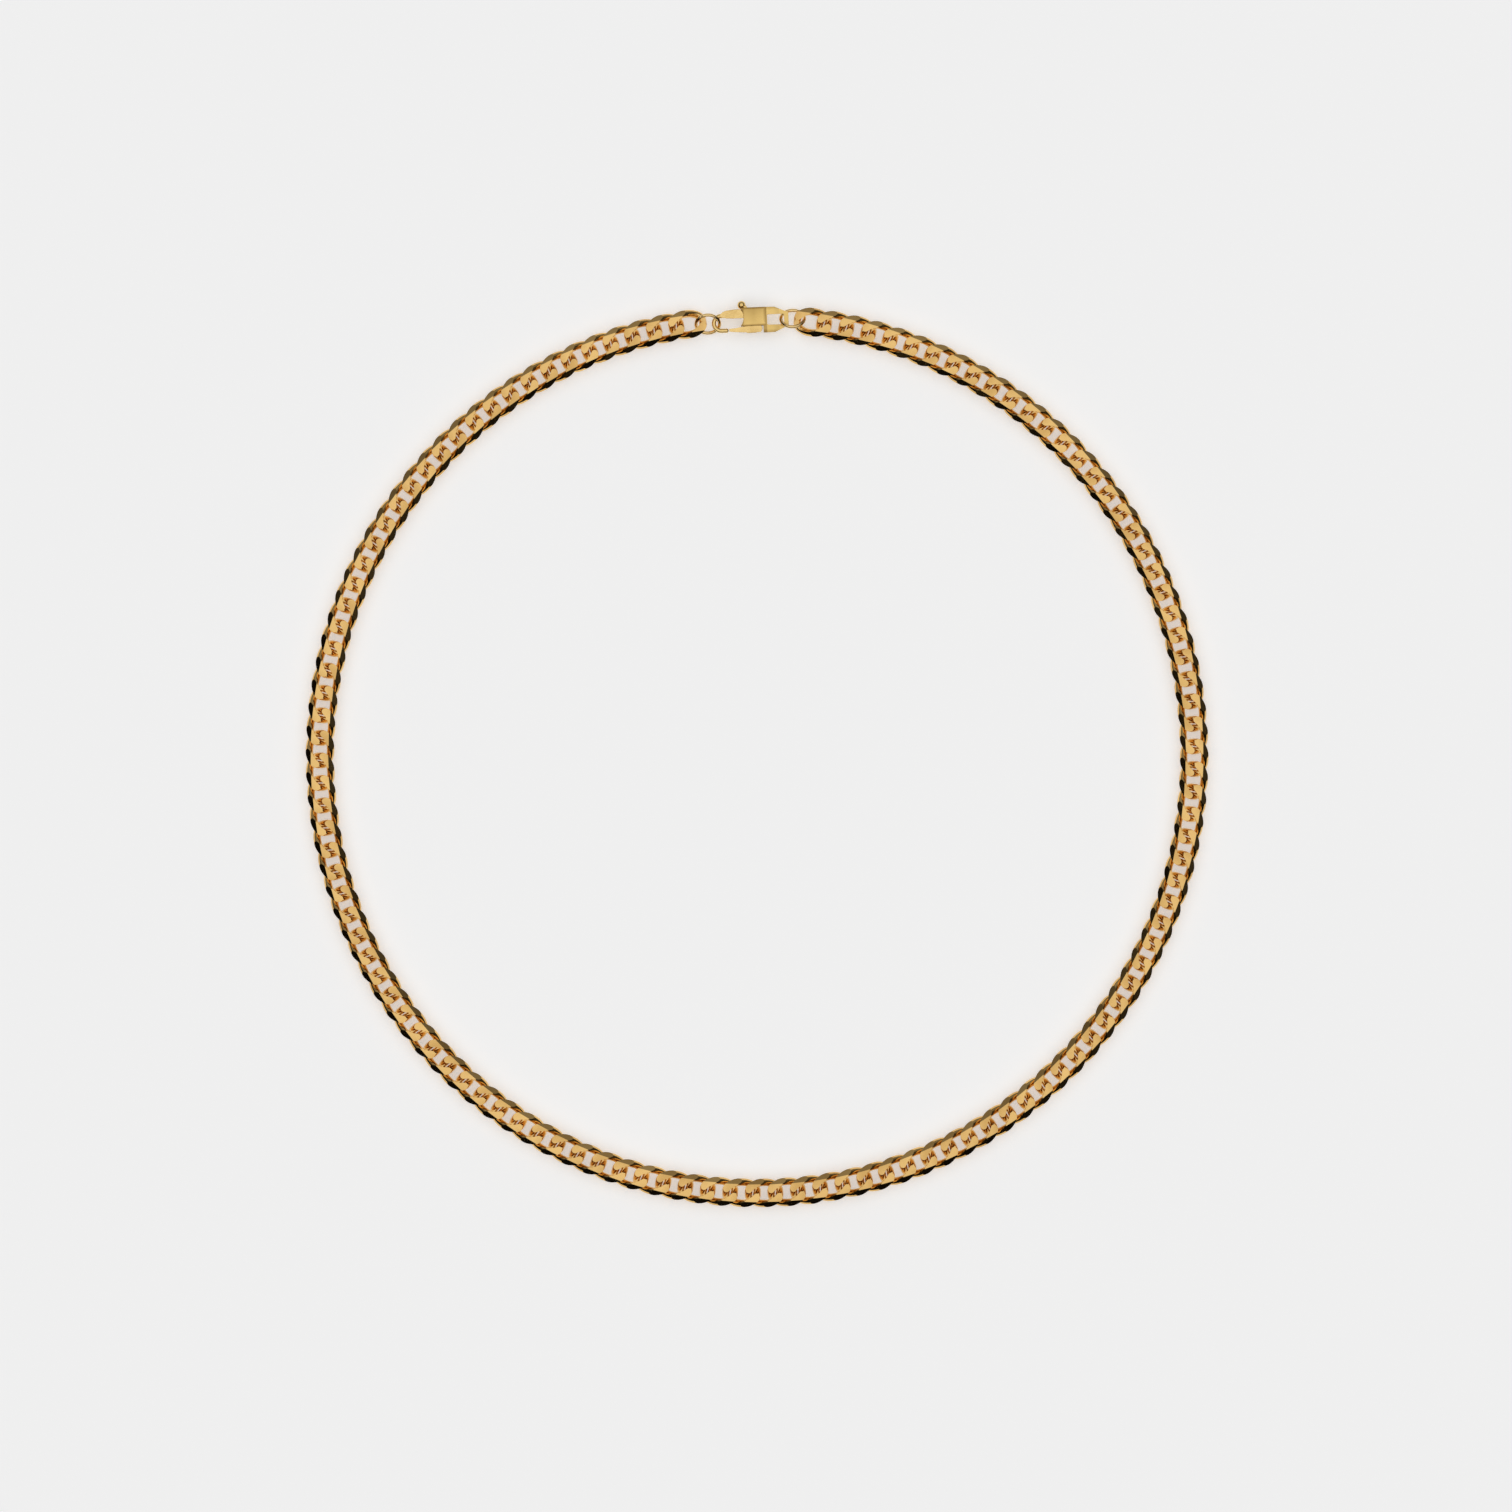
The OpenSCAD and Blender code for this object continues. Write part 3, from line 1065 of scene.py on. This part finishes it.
        bench.tint(tone_and_painted_shade)
        low = half - 0.03
        upper = [(hub, low - 0.05), (hub - 0.05, low), (0, low)]
        bench.turned([(r, -z) for r, z in reversed(upper)] + upper, (pin.x, pin.y, 0.0))
        radius = self.ball / 2
        turns = np.radians(np.linspace(-90, 90, 17))
        globe = [(radius * math.cos(t), 0.96 * radius * math.sin(t)) for t in turns]
        bench.turned(globe, (*ball, 0.0), sides=28)

    def pin(self, bench: Bench, pin: Vector) -> None:
        """The pin, whose two heads are filed flush under the cheeks' crown.

        Args:
            bench: Where it is made.
            pin: The pin's place.
        """
        reach, radius = self.thick / 2, self.pin_d / 2
        head = ((radius, -0.06), (radius - 0.05, 0.0), (radius * 0.6, 0.02), (0, 0.03))
        upper = [(r, reach + rise) for r, rise in head]
        profile = [(r, -z) for r, z in reversed(upper)] + upper
        bench.turned(profile, (pin.x, pin.y, 0.0))

    def spring(self, bench: Bench) -> None:
        """The bent leaf spring between the tail's root and the trigger's stem.

        Args:
            bench: Where it is made.
        """
        bend, strip = 1.64, (self.trigger_t - 0.3) / 2
        middle = (self.cheek_x1 - 0.62 - 1.7, -0.1)
        out, back = arc(middle, bend + 0.06, 5, 84, 20), arc(middle, bend - 0.06, 5, 84, 20)
        rings = np.array([
            [(*a, -strip), (*a, strip), (*b, strip), (*b, -strip)] for a, b in zip(out, back)
        ])
        bench.skin(rings, closed=False)

    def build(self, layout: Layout) -> None:
        """Makes the clasp's pieces.

        Args:
            layout: Where it stands.
        """
        body = Seat("clasp", Slot.CLASP, ("clasp_body",))
        for name, method, finish in (
            ("clasp_cheeks", self.cheeks, SATIN),
            ("clasp_tail", self.tail, SATIN),
            ("clasp_blocks", self.block, SATIN),
            ("clasp_hook", self.hook, BRIGHT_TRIM),
            ("clasp_arm", self.arm, BRIGHT_TRIM),
        ):
            bench = Bench()
            method(bench)
            settle(name, bench.mesh(name, finish), layout.clasp, body)
        bench = Bench()
        self.trigger(bench, layout.pin)
        seat = Seat("clasp_trigger", Slot.TRIGGER, ("clasp_trigger",))
        settle("thumb_trigger", bench.mesh("thumb_trigger", BRIGHT_TRIM), layout.clasp, seat)
        bench = Bench()
        self.pin(bench, layout.pin)
        seat = Seat("clasp", Slot.CLASP, ("clasp_pin",))
        settle("rivet_pin", bench.mesh("rivet_pin", SATIN), layout.clasp, seat)
        bench = Bench()
        self.spring(bench)
        seat = Seat("clasp", Slot.SPRING, ("clasp_spring",))
        leaf = settle("leaf_spring", bench.mesh("leaf_spring", STEEL), layout.clasp, seat)
        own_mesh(leaf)


# ---- Studio ----


@dataclass
class Studio:
    """A pale floor, soft light from above and the camera.

    Attributes:
        floor_tone: Brightness of the floor.
        floor_glow: Share of it that doesn't depend on the light.
        view_width: Width that the camera sees at the chain.
        distance: Height of the camera above the chain.
        roll: Turn of the camera about its own line of sight, in degrees.
        aim: Where the camera looks.
        sensor: Width of the camera's sensor.
        reach: Half the floor's width, in metres.
    """

    floor_tone: float = 0.92
    floor_glow: float = 0.36
    view_width: float = 275.1
    distance: float = 1600.0
    roll: float = -0.915
    aim: Point = (-0.195, -0.025)
    sensor: float = 36.0
    reach: float = 12.0

    def floor(self) -> None:
        """The pale floor that the necklace lies on."""
        mesh = bpy.data.meshes.new("floor")
        signs = ((-1, -1), (1, -1), (1, 1), (-1, 1))
        points = [(x * self.reach, y * self.reach, 0) for x, y in signs]
        mesh.from_pydata(points, [], [(0, 1, 2, 3)])
        material = bpy.data.materials.new("pale_floor")
        material.use_nodes = True
        graph = Graph(material.node_tree)
        shader = graph.node(
            "ShaderNodeBsdfPrincipled",
            inputs={
                "Base Color": (self.floor_tone, self.floor_tone, self.floor_tone, 1.0),
                "Roughness": 0.9,
                "Specular IOR Level": 0.1,
                "Emission Color": (1.0, 1.0, 1.0, 1.0),
                "Emission Strength": self.floor_glow,
            },
        )
        graph.node("ShaderNodeOutputMaterial", inputs={"Surface": shader})
        mesh.materials.append(material)
        floor = bpy.data.objects.new("floor", mesh)
        floor.location.z = -0.0002
        bpy.context.scene.collection.objects.link(floor)
        floor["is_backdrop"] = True

    def surroundings(self) -> None:
        """Soft light from overhead that fades into dark low sides, as under a softbox."""
        world = bpy.data.worlds.new("studio")
        world.use_nodes = True
        graph = Graph(world.node_tree)
        way = graph.node("ShaderNodeTexCoord", output="Generated")
        split = graph.node("ShaderNodeSeparateXYZ", inputs={0: way})
        x, y, z = (Term(graph, split.socket.node.outputs[k]) for k in range(3))
        box = z.ramp(0.50, 0.80)
        back = y.ramp(0.25, 0.95) * z.ramp(0.02, 0.3)
        right = x.ramp(0.45, 0.98)
        low = 0.004 + back * 0.30 + right * 0.035
        level = box * 0.90 + (1 - box) * low
        white, pale = (1.0, 1.0, 1.0, 1.0), (0.88, 0.88, 0.88, 1.0)
        lit = graph.node("ShaderNodeBackground", inputs={"Color": white, "Strength": level})
        seen = graph.node("ShaderNodeBackground", inputs={"Color": pale, "Strength": 1.0})
        rays = graph.node("ShaderNodeLightPath", output="Is Camera Ray")
        both = graph.node("ShaderNodeMixShader", inputs={0: rays, 1: lit, 2: seen})
        graph.node("ShaderNodeOutputWorld", inputs={"Surface": both})
        bpy.context.scene.world = world

    def camera(self, height: float) -> None:
        """The camera straight above the ring.

        Args:
            height: Height of the chain's middle in metres.
        """
        data = bpy.data.cameras.new("camera")
        data.sensor_width = self.sensor
        data.lens = self.sensor * self.distance / self.view_width
        data.clip_end = 100.0
        camera = bpy.data.objects.new("camera", data)
        camera.location = (self.aim[0] * MM, self.aim[1] * MM, height + self.distance * MM)
        camera.rotation_euler = (0.0, 0.0, math.radians(self.roll))
        bpy.context.scene.collection.objects.link(camera)
        bpy.context.scene.camera = camera

    def build(self, height: float) -> None:
        """Sets the floor, the light and the camera.

        Args:
            height: Height of the chain's middle in metres.
        """
        self.floor()
        self.surroundings()
        self.camera(height)
        bpy.context.scene.view_settings.view_transform = "Standard"
        log.info("studio ready")


def corners() -> list[list[float]]:
    """The whole object's lowest and highest corners as plain lists."""
    return [[float(v) for v in corner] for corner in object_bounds()]


def main() -> None:
    """Builds the necklace from the chain to the clasp, then the studio."""
    logging.basicConfig(level=logging.INFO, format="%(name)s: %(message)s")
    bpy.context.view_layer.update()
    layout = Layout(frame["joints"])
    CurbChain().build(layout)
    JumpRings().build(layout)
    LobsterClasp().build(layout)
    Studio().build(layout.height)


if __name__ == "__main__":
    main()
